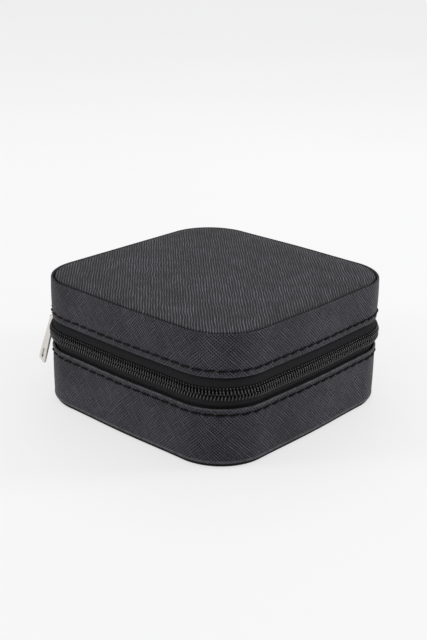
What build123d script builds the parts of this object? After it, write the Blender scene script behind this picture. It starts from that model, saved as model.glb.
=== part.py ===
"""Square zip-round jewellery case: a leather-covered tray and lid, a folding spine, a zip round three sides,
six ring rolls, removable dividers, three snap straps and an elastic pocket. Millimetres, +Z up.
The origin is the middle of the underside, the spine is at +Y and the front is at -Y."""

import os
from math import cos, radians, sin

from build123d import *

# Overall size
case_width = 100.0
case_height = 50.0
corner_radius = 20.0

# Material thicknesses
leather = 1.0
board = 1.8
lining = 0.7
foam = 1.5
tape = 0.5

# Heights of the two halves and of the zip between them
base_rim_z = 22.5
lid_rim_z = 34.0
zip_z = (base_rim_z + lid_rim_z) / 2
bottom_panel = 0.9
foot_chamfer = 0.6
seam_depth = 6.0

# Insets from the outer face to each layer of a wall
board_out = leather
board_in = board_out + board
lining_in = board_in + lining
half_width = case_width / 2
inner_half = half_width - lining_in
corner_centre = half_width - corner_radius

# Levels inside
floor_board_top = bottom_panel + board
floor_z = floor_board_top + lining
board_setback = 0.6
lip = 0.5
panel_z = case_height - leather - foam - board - lining

# Stitching
stitch_length = 3.5
stitch_pitch = 4.63
stitch_width = 0.6
stitch_height = 0.4
stitch_to_rim = 2.4

# Zip: tape edge, coil bars and the stretches of the rear corners, in degrees round from the side
tape_hidden_inset = leather + tape / 2
tape_bulge_inset = 0.3
tape_edge_z = 1.6
tape_bulge_z = 3.0
coil_half_width = 2.1
coil_gap = 0.2
coil_thickness = 1.20
corner_arc = 90.0
tail_clearance_angle = 61.0
right_end_angle = 84.0
tab_strip_angle = 87.5
coil_end_angle = 74.0
coil_to_tape = 0.02
tab_setback = 0.8
stop_height = 0.9
top_stop_angles = (88.2, 89.8)
top_stop_half = 1.6
bottom_stop_angles = (85.0, 89.5)
bottom_stop_half = 2.1

# Slider, bail and pull, in the slider's own plane: X along the tape, Y up, Z out from the corner's centre
slider_angle = 75.5
slider_length = 8.6
shoulder_width = 7.2
shoulder_x = -1.4
tail_width = 5.8
tail_x = 0.4
slider_corner = 0.6
wedge_xs = (-3.9, -2.6, -0.4)
wedge_half = 1.25
flange_x = 2.4
flange_length = 3.4
flange_from_coil = 0.3
slider_over_coil = 0.2
top_plate_z = corner_radius + coil_thickness + slider_over_coil
top_plate = 0.9
bottom_plate_z = 17.9
bottom_plate = 0.7
bail_height = 2.4
bail_bar = 1.0
bail_width = 1.1
bail_length = 5.4
bail_opening = 3.6
bail_corner = 1.3
bail_edge = 0.25
pull_thickness = 0.9
pull_length = 21.3
pull_eye_radius = 1.15
pull_eye_wall = 0.65
pull_neck_width = 3.0
pull_neck_y = -0.9
pull_end_width = 5.0
pull_corner = 0.6
pull_edge = 0.12
pull_tilt = 17.0
pull_twist = -29.0
pull_slot_length = 4.4
pull_slot_width = 1.5
pull_slot_to_tip = 3.6

# Spine
spine_half = 29.5
spine_gap = 0.2
spine_inset = 0.1

# Ring rolls, partition and dividers
partition_front_y = -14.5
partition = 1.6
insert_top_z = 19.0
roll_count = 6
roll_pitch = 15.4
roll_radius = 7.6
roll_clearance = 0.2
divider = 2.2
divider_edge = 0.9
divider_clearance = 0.2
divider_long_x = -8.0
divider_short_y = 16.0
divider_top_z = 19.4

# Snap straps and pocket under the lid panel
strap_xs = (-20.0, 0.0, 20.0)
strap_width = 8.0
strap_root_y = -36.3
strap_end_y = -20.0
strap_drop = 1.6
strap_tip_corner = 3.4
strip_half = 30.0
strip_front_y = -41.0
strip_back_y = -37.0
snap_y = -24.0
cap_radius = 3.4
cap_thickness = 0.7
cap_edge = 0.4
washer = 0.3
socket_depth = 0.8
socket_clearance = 0.3
stud_radius = 2.2
stud_clearance = 0.5
rivet_radius = 1.2
pocket_half = 38.0
pocket_mouth_y = 3.0
pocket_foot_y = 41.0
pocket_depth = 3.4
pocket_cloth = 0.8
pocket_corner = 9.0
elastic_width = 3.4
elastic = 0.6

os.makedirs("parts", exist_ok=True)


def save(piece, name):
    """Labels a finished piece and writes it under its node's name."""
    piece.part.label = name
    export_step(piece.part, f"parts/{name}.step")


def outline(inset, mode=Mode.ADD):
    """The case's rounded-square outline, pulled in by inset, in the sketch being built."""
    side = case_width - 2 * inset
    RectangleRounded(side, side, corner_radius - inset, mode=mode)


def plate(name, inset, low, high, top_fillet=0.0, foot=0.0):
    """A flat panel that fills the outline."""
    with BuildPart() as panel:
        with BuildSketch(Plane.XY.offset(low)):
            outline(inset)
        extrude(amount=high - low)
        if top_fillet:
            fillet(panel.faces().sort_by(Axis.Z)[-1].edges(), top_fillet)
        if foot:
            chamfer(panel.faces().sort_by(Axis.Z)[0].edges(), foot)
    save(panel, name)


def ring(outer, inner, low, high):
    """A wall that follows the outline, added to the part being built."""
    with BuildSketch(Plane.XY.offset(low)) as section:
        outline(outer)
        outline(inner, Mode.SUBTRACT)
    extrude(section.sketch, amount=high - low)


def side_leather(name, low, high, rim_is_up):
    """The leather band round one half, with softened outer edges."""
    with BuildPart() as band:
        ring(0, leather, low, high)
        ends = band.faces().filter_by(Plane.XY).sort_by(Axis.Z)
        rim = ends[-1] if rim_is_up else ends[0]
        fillet(rim.outer_wire().edges(), leather * 0.45)
    save(band, name)


def wall_board(name, rim_low, rim_high, deep_low, deep_high):
    """The stiff board behind the band, set back near the rim where the zip tape is sewn in."""
    with BuildPart() as wall:
        ring(board_out + tape, board_in, rim_low, rim_high)
        ring(board_out, board_in, deep_low, deep_high)
    save(wall, name)


def wall_lining(name, wall_low, wall_high, lip_low, lip_high):
    """The velvet on the inside of a wall and over its rim."""
    with BuildPart() as velvet:
        ring(board_in, lining_in, wall_low, wall_high)
        ring(board_out + tape + 0.1, lining_in, lip_low, lip_high)
    save(velvet, name)


def rim_points(inset, pitch):
    """Evenly spaced places round the outline: x, y and the direction that faces outwards, in degrees."""
    radius = corner_radius - inset
    side = 2 * corner_centre
    quarter = radius * radians(90)
    count = round(4 * (side + quarter) / pitch)
    step = 4 * (side + quarter) / count
    places = []
    for index in range(count):
        quadrant, along = divmod((index + 0.5) * step, side + quarter)
        turn = 90 * quadrant
        if along < side:
            x, y, facing = half_width - inset, along - corner_centre, 0.0
        else:
            facing = 90 * (along - side) / quarter
            x = corner_centre + radius * cos(radians(facing))
            y = corner_centre + radius * sin(radians(facing))
        spun = Vector(x, y, 0).rotate(Axis.Z, turn)
        places.append((spun.X, spun.Y, facing + turn))
    return places


def stitching(name, level):
    """One row of top stitches lying on the leather."""
    spots = []
    for x, y, facing in rim_points(-stitch_height / 2, stitch_pitch):
        spots.append(Location((x, y, level), (0, 0, facing)))
    with BuildPart() as row:
        with Locations(*spots):
            Box(stitch_height, stitch_length, stitch_width)
    save(row, name)


def corner_point(inset, angle, side):
    """A point on a rear corner's arc. The angle runs from the case's side (0) to its back (90)."""
    radius = corner_radius - inset
    x = corner_centre + radius * cos(radians(angle))
    y = corner_centre + radius * sin(radians(angle))
    return (side * x, y, 0)


def zip_path(inset, left_angle, right_angle):
    """The zip's route at one inset: rear left corner, left side, front, right side, rear right corner."""
    radius = corner_radius - inset
    edge = half_width - inset
    with BuildLine() as route:
        CenterArc((-corner_centre, corner_centre), radius, 180 - left_angle, left_angle)
        Line((-edge, corner_centre), (-edge, -corner_centre))
        CenterArc((-corner_centre, -corner_centre), radius, 180, 90)
        Line((-corner_centre, -edge), (corner_centre, -edge))
        CenterArc((corner_centre, -corner_centre), radius, 270, 90)
        Line((edge, -corner_centre), (edge, corner_centre))
        CenterArc((corner_centre, corner_centre), radius, 0, right_angle)
    return route.wires()[0]


def sweep_band(profile, left_angle, right_angle):
    """Sweeps a closed profile of (inset, height) points along the zip's route, as one more solid."""
    route = zip_path(0, left_angle, right_angle)
    start = route @ 0
    along = route % 0
    outwards = Vector(along.Y, -along.X, 0)
    if outwards.dot(Vector(start.X + corner_centre, start.Y - corner_centre, 0)) < 0:
        outwards = -outwards
    face_plane = Plane(origin=(start.X, start.Y, 0), x_dir=outwards, z_dir=outwards.cross(Vector(0, 0, 1)))
    with BuildSketch(face_plane) as section:
        Polygon(*[(-inset, height) for inset, height in profile], align=None)
    sweep(section.sketch, path=route)


def tape_profile(direction):
    """Half the zip tape in section. direction is 1 for the upper half and -1 for the lower half."""
    rim = (lid_rim_z - base_rim_z) / 2
    rows = [
        (tape_hidden_inset, rim + seam_depth),
        (tape_hidden_inset, rim),
        (tape_bulge_inset, tape_bulge_z),
        (tape_bulge_inset, tape_edge_z),
    ]
    inner = [(inset + tape / 2, zip_z + direction * rise) for inset, rise in rows]
    outer = [(inset - tape / 2, zip_z + direction * rise) for inset, rise in reversed(rows)]
    return inner + outer


def build_base_shell():
    plate("base_bottom_leather", leather, 0, bottom_panel, foot=foot_chamfer)
    plate("base_floor_board", board_out, bottom_panel, floor_board_top)
    plate("base_floor_lining", board_in, floor_board_top, floor_z)
    side_leather("base_side_leather", bottom_panel, base_rim_z, rim_is_up=True)
    rim_top = base_rim_z - board_setback
    tape_foot = base_rim_z - seam_depth - 0.1
    wall_board("base_wall_board", tape_foot, rim_top, floor_board_top, tape_foot)
    wall_lining("base_wall_lining", floor_z, rim_top, rim_top, rim_top + lip)
    stitching("base_stitching", base_rim_z - stitch_to_rim)


def build_lid_shell():
    leather_low = case_height - leather
    foam_low = leather_low - foam
    board_low = foam_low - board
    plate("lid_top_leather", 0, leather_low, case_height, top_fillet=leather * 0.8)
    plate("lid_top_foam", board_out, foam_low, leather_low)
    plate("lid_top_board", board_out, board_low, foam_low)
    plate("lid_panel_lining", board_in, panel_z, board_low)
    side_leather("lid_side_leather", lid_rim_z, leather_low, rim_is_up=False)
    rim_low = lid_rim_z + board_setback
    tape_head = lid_rim_z + seam_depth + 0.1
    wall_board("lid_wall_board", rim_low, tape_head, tape_head, board_low)
    wall_lining("lid_wall_lining", rim_low, panel_z, rim_low - lip, rim_low)
    stitching("lid_stitching", lid_rim_z + stitch_to_rim)


def build_spine():
    """The strip that joins the halves at the back: leather outside, velvet inside."""
    low = base_rim_z + spine_gap
    height = lid_rim_z - base_rim_z - 2 * spine_gap
    outer_y = half_width - spine_inset
    for name, y, thick in (
        ("spine_leather", outer_y - leather / 2, leather),
        ("spine_lining", outer_y - leather - lining / 2, lining),
    ):
        with BuildPart() as strip:
            with Locations((0, y, low + height / 2)):
                Box(2 * spine_half, thick, height)
        save(strip, name)


def build_zip_tapes():
    """The woven tapes. The upper one stops where the parked slider begins."""
    with BuildPart() as lower:
        sweep_band(tape_profile(-1), corner_arc, corner_arc)
    save(lower, "zip_tape_lower")
    with BuildPart() as upper:
        sweep_band(tape_profile(1), tail_clearance_angle, right_end_angle)
    save(upper, "zip_tape_upper")


def build_zip_coils():
    """One closed bar for each half of the coil, sewn on the outside of its tape."""
    for name, direction, left_angle in (
        ("zip_coil_lower", -1, coil_end_angle),
        ("zip_coil_upper", 1, tail_clearance_angle),
    ):
        inner = tape_bulge_inset - tape / 2 - coil_to_tape
        outer = inner - coil_thickness
        near, far = zip_z + direction * coil_gap / 2, zip_z + direction * coil_half_width
        section = [(inner, near), (inner, far), (outer, far), (outer, near)]
        with BuildPart() as bar:
            sweep_band(section, left_angle, right_end_angle)
        save(bar, name)


def tab_sector(low_inset, high_inset, low_z, high_z, start, end, side):
    """A piece of a rear corner's wall between two angles, added to the part being built."""
    with BuildSketch(Plane.XY.offset(low_z)) as section:
        with BuildLine():
            inner_from = corner_point(high_inset, start, side)
            inner_to = corner_point(high_inset, end, side)
            outer_from = corner_point(low_inset, start, side)
            outer_to = corner_point(low_inset, end, side)
            middle = (start + end) / 2
            Line(inner_from, outer_from)
            ThreePointArc(outer_from, corner_point(low_inset, middle, side), outer_to)
            Line(outer_to, inner_to)
            ThreePointArc(inner_to, corner_point(high_inset, middle, side), inner_from)
        make_face()
    extrude(section.sketch, amount=high_z - low_z)


def build_zip_ends():
    """The fabric tabs and the stops that finish the zip at each side of the spine."""
    outer = tape_bulge_inset - tape / 2
    inner = tape_bulge_inset + tape / 2
    tab_top = lid_rim_z - tab_setback
    tape_top = zip_z - tape_edge_z
    for name, side, flap_from in (
        ("zip_end_tab_left", -1, tail_clearance_angle + 1.0),
        ("zip_end_tab_right", 1, right_end_angle + 1.0),
    ):
        with BuildPart() as tab:
            tab_sector(outer, inner, tape_top + 0.1, tab_top, tab_strip_angle, corner_arc, side)
            tab_sector(outer, inner, zip_z + tape_edge_z, tab_top, flap_from, tab_strip_angle, side)
        save(tab, name)
    for name, side, half, angles in (
        ("zip_top_stop", -1, top_stop_half, top_stop_angles),
        ("zip_bottom_stop", 1, bottom_stop_half, bottom_stop_angles),
    ):
        with BuildPart() as stop:
            tab_sector(outer - stop_height, outer - coil_to_tape, zip_z - half, zip_z + half, *angles, side)
        save(stop, name)


def slider_plane(offset):
    """The slider's plane at a distance from the corner's centre."""
    angle = radians(slider_angle)
    outwards = Vector(-cos(angle), sin(angle), 0)
    origin = Vector(-corner_centre, corner_centre, zip_z) + outwards * offset
    return Plane(origin=origin, x_dir=Vector(0, 0, 1).cross(outwards), z_dir=outwards)


def slider_outline():
    """The slider's plan: wide shoulders at the closing end, a narrower tail."""
    half = slider_length / 2
    Polygon(
        (half, -tail_width / 2),
        (half, tail_width / 2),
        (tail_x, tail_width / 2),
        (shoulder_x, shoulder_width / 2),
        (-half, shoulder_width / 2),
        (-half, -shoulder_width / 2),
        (shoulder_x, -shoulder_width / 2),
        (tail_x, -tail_width / 2),
        align=None,
    )


def build_slider():
    """The cast body: two plates joined by the wedge that parts the coil, with flanges along the tail."""
    tip, widest, end = wedge_xs
    with BuildPart() as body:
        with BuildSketch(slider_plane(top_plate_z)) as top:
            slider_outline()
            fillet(top.vertices(), slider_corner)
        extrude(amount=top_plate)
        with BuildSketch(slider_plane(bottom_plate_z)) as bottom:
            slider_outline()
            fillet(bottom.vertices(), slider_corner)
        extrude(amount=bottom_plate)
        with BuildSketch(slider_plane(bottom_plate_z)):
            Polygon((tip, 0), (widest, wedge_half), (end, 0), (widest, -wedge_half), align=None)
        extrude(amount=top_plate_z - bottom_plate_z)
        flange_low = coil_half_width + flange_from_coil
        flange_y = (flange_low + tail_width / 2) / 2
        flange_foot = corner_radius + flange_from_coil
        with BuildSketch(slider_plane(flange_foot)):
            with Locations((flange_x, flange_y), (flange_x, -flange_y)):
                Rectangle(flange_length, tail_width / 2 - flange_low)
        extrude(amount=top_plate_z - flange_foot)
    save(body, "slider_body")
    arch_plane = slider_plane(top_plate_z + top_plate)
    arch_plane = Plane(origin=arch_plane.origin, x_dir=arch_plane.x_dir, z_dir=-arch_plane.y_dir)
    with BuildPart() as bail:
        with BuildSketch(arch_plane) as arch:
            Rectangle(bail_length, bail_height, align=(Align.CENTER, Align.MIN))
            fillet(arch.vertices().group_by(Axis.Y)[-1], bail_corner)
            opening_height = bail_height - bail_bar
            Rectangle(bail_opening, opening_height, align=(Align.CENTER, Align.MIN), mode=Mode.SUBTRACT)
        extrude(amount=bail_width / 2, both=True)
        sides = bail.faces().filter_by(GeomType.PLANE).sort_by(Axis.Z)
        fillet(sides[0].edges() + sides[-1].edges(), bail_edge)
    save(bail, "slider_bail")


def pull_plane():
    """The hanging pull's middle plane: X across it, Y up it, leaning out and turned on the bail."""
    frame = slider_plane(top_plate_z + top_plate + bail_height - bail_bar / 2)
    outwards = frame.z_dir.rotate(Axis((0, 0, 0), frame.x_dir), -pull_tilt)
    upwards = frame.y_dir.rotate(Axis((0, 0, 0), frame.x_dir), -pull_tilt)
    across = outwards.rotate(Axis((0, 0, 0), upwards), pull_twist)
    return Plane(origin=frame.origin, x_dir=across, z_dir=across.cross(upwards))


def build_pull():
    """The flat pull: an eye round the bail and a plate that widens to a square end with a slot."""
    neck = pull_neck_width / 2
    end = pull_end_width / 2
    with BuildPart() as pull:
        with BuildSketch(pull_plane()) as flat:
            Polygon(
                (-neck, pull_neck_y),
                (-end, -pull_length),
                (end, -pull_length),
                (neck, pull_neck_y),
                align=None,
            )
            fillet(flat.vertices().group_by(Axis.Y)[0], pull_corner)
            Circle(pull_eye_radius + pull_eye_wall)
            Circle(pull_eye_radius, mode=Mode.SUBTRACT)
            with Locations((0, pull_slot_to_tip - pull_length)):
                SlotOverall(pull_slot_length, pull_slot_width, rotation=90, mode=Mode.SUBTRACT)
        extrude(amount=pull_thickness / 2, both=True)
        frame = pull_plane()
        faces = pull.faces().filter_by(GeomType.PLANE).sort_by(Axis(frame.origin, frame.z_dir))
        for face in (faces[0], faces[-1]):
            chamfer(face.outer_wire().edges(), pull_edge)
    save(pull, "zip_pull")


def build_ring_tray():
    """The partition and the row of foam rolls in front of it, trimmed to the tray's rounded corners."""
    with BuildPart() as wall:
        with Locations((0, partition_front_y + partition / 2, (floor_z + insert_top_z) / 2)):
            Box(2 * inner_half, partition, insert_top_z - floor_z)
    save(wall, "ring_partition")
    length = inner_half + partition_front_y - 2 * roll_clearance
    roll_z = floor_z + roll_clearance + roll_radius
    for index in range(roll_count):
        x = (index - (roll_count - 1) / 2) * roll_pitch
        with BuildPart() as roll:
            with BuildSketch(Plane.XZ.offset(-partition_front_y + roll_clearance)):
                with Locations((x, roll_z)):
                    Circle(roll_radius)
            extrude(amount=length)
            with BuildSketch(Plane.XY):
                outline(lining_in + roll_clearance)
            extrude(amount=case_height, mode=Mode.INTERSECT)
        save(roll, f"ring_roll_{index + 1}")


def build_dividers():
    """Two stiff velvet dividers that lift out of the back of the tray."""
    low = floor_z + divider_clearance
    height = divider_top_z - low
    long_from = partition_front_y + partition + divider_clearance
    long_to = inner_half - divider_clearance
    short_from = divider_long_x + divider / 2 + divider_clearance
    for name, centre, size in (
        ("divider_long", (divider_long_x, (long_from + long_to) / 2), (divider, long_to - long_from)),
        ("divider_short", ((short_from + long_to) / 2, divider_short_y), (long_to - short_from, divider)),
    ):
        with BuildPart() as card:
            with Locations((*centre, low + height / 2)):
                Box(*size, height)
            fillet(card.faces().sort_by(Axis.Z)[-1].edges(), divider_edge)
        save(card, name)


def build_straps():
    """Three snap straps for necklaces, hung from one strip under the lid's panel."""
    strap_top_z = panel_z - strap_drop
    strap_low_z = strap_top_z - leather
    with BuildPart() as strip:
        with Locations((0, (strip_front_y + strip_back_y) / 2, (strap_low_z + panel_z) / 2)):
            Box(2 * strip_half, strip_back_y - strip_front_y, panel_z - strap_low_z)
    save(strip, "hook_strip")
    for number, x in enumerate(strap_xs, start=1):
        with BuildPart() as strap:
            with BuildSketch(Plane.XY.offset(strap_low_z)):
                with Locations((x, (strap_root_y + strap_end_y) / 2)):
                    Rectangle(strap_width, strap_end_y - strap_root_y)
                with Locations((x, snap_y)):
                    Circle(rivet_radius, mode=Mode.SUBTRACT)
            extrude(amount=leather)
            free_corners = strap.edges().filter_by(Axis.Z).group_by(Axis.Y)[-1]
            fillet(free_corners, strap_tip_corner)
        save(strap, f"hook_strap_{number}")
        with BuildPart() as cap:
            with Locations((x, snap_y, strap_low_z - cap_thickness / 2)):
                Cylinder(cap_radius, cap_thickness)
            with Locations((x, snap_y, strap_low_z + leather / 2)):
                Cylinder(rivet_radius, leather)
            with Locations((x, snap_y, strap_top_z + washer / 2)):
                Cylinder(cap_radius, washer)
            with BuildSketch(Plane.XY.offset(strap_top_z + washer)):
                with Locations((x, snap_y)):
                    Circle(cap_radius)
                    Circle(stud_radius + socket_clearance, mode=Mode.SUBTRACT)
            extrude(amount=socket_depth)
            fillet(cap.faces().sort_by(Axis.Z)[0].edges(), cap_edge)
        save(cap, f"snap_cap_{number}")
        with BuildPart() as stud:
            with BuildSketch(Plane.XY.offset(strap_top_z + stud_clearance)):
                with Locations((x, snap_y)):
                    Circle(stud_radius)
            extrude(amount=strap_drop - stud_clearance)
        save(stud, f"snap_stud_{number}")


def build_pocket():
    """The lid's pocket, open at its front edge, and the elastic in its mouth."""
    low = panel_z - pocket_depth
    length = pocket_foot_y - pocket_mouth_y
    middle_y = (pocket_mouth_y + pocket_foot_y) / 2
    inner = pocket_half - pocket_cloth
    with BuildPart() as bag:
        with BuildSketch(Plane.XY.offset(low)):
            with Locations((0, middle_y)):
                RectangleRounded(2 * pocket_half, length, pocket_corner)
            with Locations((0, pocket_mouth_y + pocket_corner)):
                Rectangle(2 * pocket_half, 2 * pocket_corner)
        extrude(amount=pocket_depth)
        with BuildSketch(Plane.XY.offset(low + pocket_cloth)):
            with Locations((0, middle_y - pocket_cloth)):
                RectangleRounded(2 * inner, length, pocket_corner - pocket_cloth)
            with Locations((0, pocket_mouth_y)):
                Rectangle(2 * inner, 4 * pocket_corner)
        extrude(amount=pocket_depth, mode=Mode.SUBTRACT)
    save(bag, "pocket_cloth")
    with BuildPart() as band:
        with Locations((0, pocket_mouth_y + elastic_width / 2, low - elastic / 2)):
            Box(2 * pocket_half, elastic_width, elastic)
    save(band, "pocket_elastic")


build_base_shell()
build_lid_shell()
build_spine()
build_zip_tapes()
build_zip_coils()
build_zip_ends()
build_slider()
build_pull()
build_ring_tray()
build_dividers()
build_straps()
build_pocket()
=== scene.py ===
from math import ceil, cos, exp, floor, hypot, pi, radians, sin, sqrt

import bmesh
import bpy
from mathutils import Matrix, Vector, noise


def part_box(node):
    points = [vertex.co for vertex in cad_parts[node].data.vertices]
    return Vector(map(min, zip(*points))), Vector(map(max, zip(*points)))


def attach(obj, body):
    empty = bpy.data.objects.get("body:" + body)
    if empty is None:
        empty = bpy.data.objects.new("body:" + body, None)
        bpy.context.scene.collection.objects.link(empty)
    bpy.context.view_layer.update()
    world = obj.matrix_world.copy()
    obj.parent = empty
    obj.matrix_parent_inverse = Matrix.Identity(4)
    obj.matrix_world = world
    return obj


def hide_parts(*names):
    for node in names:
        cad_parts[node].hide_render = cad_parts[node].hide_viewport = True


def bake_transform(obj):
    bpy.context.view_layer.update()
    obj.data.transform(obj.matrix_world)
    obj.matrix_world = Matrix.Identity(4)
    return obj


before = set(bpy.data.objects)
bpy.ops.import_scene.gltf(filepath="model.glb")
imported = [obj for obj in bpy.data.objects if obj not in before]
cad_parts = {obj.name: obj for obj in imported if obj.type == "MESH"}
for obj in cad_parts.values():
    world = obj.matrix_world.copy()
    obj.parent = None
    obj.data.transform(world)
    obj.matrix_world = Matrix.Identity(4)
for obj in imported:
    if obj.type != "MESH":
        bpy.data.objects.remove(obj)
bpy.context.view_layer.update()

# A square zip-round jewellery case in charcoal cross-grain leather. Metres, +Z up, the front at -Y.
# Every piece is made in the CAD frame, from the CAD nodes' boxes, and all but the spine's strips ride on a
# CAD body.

MM = 0.001

# ---------------------------------------------------------------- sizes, from the frame

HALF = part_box("base_side_leather")[1][0]
CORNER = 20 * MM
BASE_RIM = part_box("base_side_leather")[1][2]
LID_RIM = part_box("lid_side_leather")[0][2]
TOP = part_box("lid_top_leather")[1][2]
ZIP = (BASE_RIM + LID_RIM) / 2
BASE_STITCH = sum(c[2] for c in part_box("base_stitching")) / 2
LID_STITCH = sum(c[2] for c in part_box("lid_stitching")) / 2
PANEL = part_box("lid_panel_lining")[0][2]
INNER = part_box("ring_partition")[1][0]
LINING_INSET = HALF - INNER

STRAIGHT = 2 * (HALF - CORNER)
QUARTER = CORNER * pi / 2
PERIMETER = 4 * (STRAIGHT + QUARTER)
SIDE_BULGE = 0.55 * MM
RIM_WAVE = 0.07 * MM

STITCH_COUNT = 79
STITCH_PITCH = PERIMETER / STITCH_COUNT
TOOTH_PITCH = 1.18 * MM
SPINE_EDGE = STRAIGHT / 2
# The closed chain runs from the slider's tail, part way round the rear left corner, past the front and to the
# rear right corner.
SLIDER_TAIL = radians(29) * CORNER
CHAIN_STOP = radians(6) * CORNER
CHAIN_START = SPINE_EDGE + SLIDER_TAIL
CHAIN_END = PERIMETER - SPINE_EDGE - CHAIN_STOP
TAPE_THICKNESS = 0.42 * MM


# ---------------------------------------------------------------- mesh helpers

def new_bmesh():
    """An empty bmesh and its UV layer."""
    bm = bmesh.new()
    return bm, bm.loops.layers.uv.new("grain")


def to_mesh(bm, name):
    """Turns a bmesh into a mesh and frees it."""
    mesh = bpy.data.meshes.new(name)
    bm.to_mesh(mesh)
    bm.free()
    return mesh


def skin(bm, rings):
    """Faces between neighbouring rings of vertices."""
    for a, b in zip(rings, rings[1:]):
        for k in range(len(a)):
            m = (k + 1) % len(a)
            bm.faces.new((a[k], a[m], b[m], b[k]))


def map_from_above(bm, layer):
    """Lays the grain on from straight above."""
    for face in bm.faces:
        for loop in face.loops:
            loop[layer].uv = (loop.vert.co.x, loop.vert.co.y)


def new_object(name, mesh, material, body, slot, replaces=()):
    """Puts a finished mesh in the scene, gives it its finish and lets it ride on its body."""
    piece = bpy.data.objects.new(name, mesh)
    bpy.context.scene.collection.objects.link(piece)
    mesh.materials.append(material)
    for polygon in mesh.polygons:
        polygon.use_smooth = True
    if body:
        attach(piece, body)
    if replaces:
        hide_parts(*replaces)
    return piece


def grid_mesh(name, rows, uvs, close_rows=False, close_columns=False, cap=False, flip=False):
    """A mesh over rows of points. uvs(row, column) gives a point's (u, v), and runs on past the last row or
    column of a closed mesh. cap closes the first and the last row with a flat face."""
    bm, layer = new_bmesh()
    verts = [[bm.verts.new(p) for p in row] for row in rows]
    n_rows, n_columns = len(rows), len(rows[0])
    for i in range(n_rows if close_rows else n_rows - 1):
        for j in range(n_columns if close_columns else n_columns - 1):
            corners = [(i, j), (i + 1, j), (i + 1, j + 1), (i, j + 1)]
            if flip:
                corners.reverse()
            face = bm.faces.new([verts[a % n_rows][b % n_columns] for a, b in corners])
            for loop, (a, b) in zip(face.loops, corners):
                loop[layer].uv = uvs(a, b)
    if cap:
        for row, backwards in ((verts[0], not flip), (verts[-1], flip)):
            face = bm.faces.new(row if not backwards else row[::-1])
            for loop in face.loops:
                loop[layer].uv = (loop.vert.co.x, loop.vert.co.z)
    return to_mesh(bm, name)


def place(s, offset):
    """A point at distance s round the outline, counted from the middle of the back towards the left, pushed
    out by offset, with the direction that faces outwards there."""
    s = (s + STRAIGHT / 2) % PERIMETER
    leg, along = divmod(s, STRAIGHT + QUARTER)
    angle = pi / 2 * (leg + 1)
    out = Vector((cos(angle), sin(angle)))
    onward = Vector((-out.y, out.x))
    if along < STRAIGHT:
        bulge = SIDE_BULGE * sin(pi * along / STRAIGHT) ** 2 if leg else 0.0
        return out * (HALF + bulge + offset) + onward * (along - STRAIGHT / 2), out
    centre = (out + onward) * (HALF - CORNER)
    angle += (along - STRAIGHT) / CORNER
    out = Vector((cos(angle), sin(angle)))
    return centre + out * (CORNER + offset), out


def ring(name, shape, material, body, slot, replaces=(), span=(0.0, PERIMETER), step=0.42 * MM, flip=False):
    """A closed section carried round the outline. shape(s) gives the section as (offset, height) pairs."""
    start, length = span[0], span[1] - span[0]
    nearly_all = 0.999
    whole = length > PERIMETER * nearly_all
    count = ceil(length / step)
    stops = [start + length * i / count for i in range(count if whole else count + 1)]
    rows = []
    for s in stops:
        row = []
        for offset, z in shape(s):
            point, _ = place(s, offset)
            row.append((point.x, point.y, z))
        rows.append(row)
    section = shape(start)
    lengths = [0.0]
    for (a, b), (c, d) in zip(section, section[1:] + section[:1]):
        lengths.append(lengths[-1] + hypot(c - a, d - b))
    along = length / count
    mesh = grid_mesh(
        name, rows, lambda i, j: (start + i * along, lengths[j]), close_rows=whole, close_columns=True,
        cap=not whole, flip=flip,
    )
    return new_object(name, mesh, material, body, slot, replaces)


def tube(bm, layer, path, radii, sides):
    """A round bar along a list of points, with closed ends."""
    up = Vector((0, 0, 1))
    rings = []
    for i, point in enumerate(path):
        before, after = path[max(i - 1, 0)], path[min(i + 1, len(path) - 1)]
        along = (after - before).normalized()
        side = along.cross(up)
        if side.length < 1e-4:
            side = along.orthogonal()
        side.normalize()
        other = side.cross(along).normalized()
        circle = []
        for k in range(sides):
            angle = 2 * pi * k / sides
            circle.append(bm.verts.new(point + (side * cos(angle) + other * sin(angle)) * radii[i]))
        rings.append(circle)
    for i, (a, b) in enumerate(zip(rings, rings[1:])):
        for k in range(sides):
            m = (k + 1) % sides
            face = bm.faces.new((a[k], a[m], b[m], b[k]))
            for loop, uv in zip(face.loops, ((k, i), (k + 1, i), (k + 1, i + 1), (k, i + 1))):
                loop[layer].uv = (uv[0] / sides, uv[1] / len(path))
    bm.faces.new(rings[0][::-1])
    bm.faces.new(rings[-1])


def rounded_block(low, high, radius, cell):
    """A box's surface with rounded edges, as a finely divided bmesh."""
    low, high = Vector(low), Vector(high)
    size = high - low
    bm = bmesh.new()
    bmesh.ops.create_cube(bm, size=1.0)
    most_cuts = 60
    for axis in range(3):
        cuts = max(1, min(most_cuts, round(size[axis] / cell)))
        edges = [e for e in bm.edges if abs((e.verts[0].co - e.verts[1].co)[axis]) > 1e-4]
        bmesh.ops.subdivide_edges(bm, edges=edges, cuts=cuts, use_grid_fill=True)
    centre = (low + high) / 2
    for vert in bm.verts:
        point = Vector([vert.co[k] * size[k] for k in range(3)])
        core = Vector([max(-size[k] / 2 + radius, min(size[k] / 2 - radius, point[k])) for k in range(3)])
        away = point - core
        if away.length > 1e-9:
            point = core + away.normalized() * radius
        vert.co = centre + point
    return bm


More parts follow.
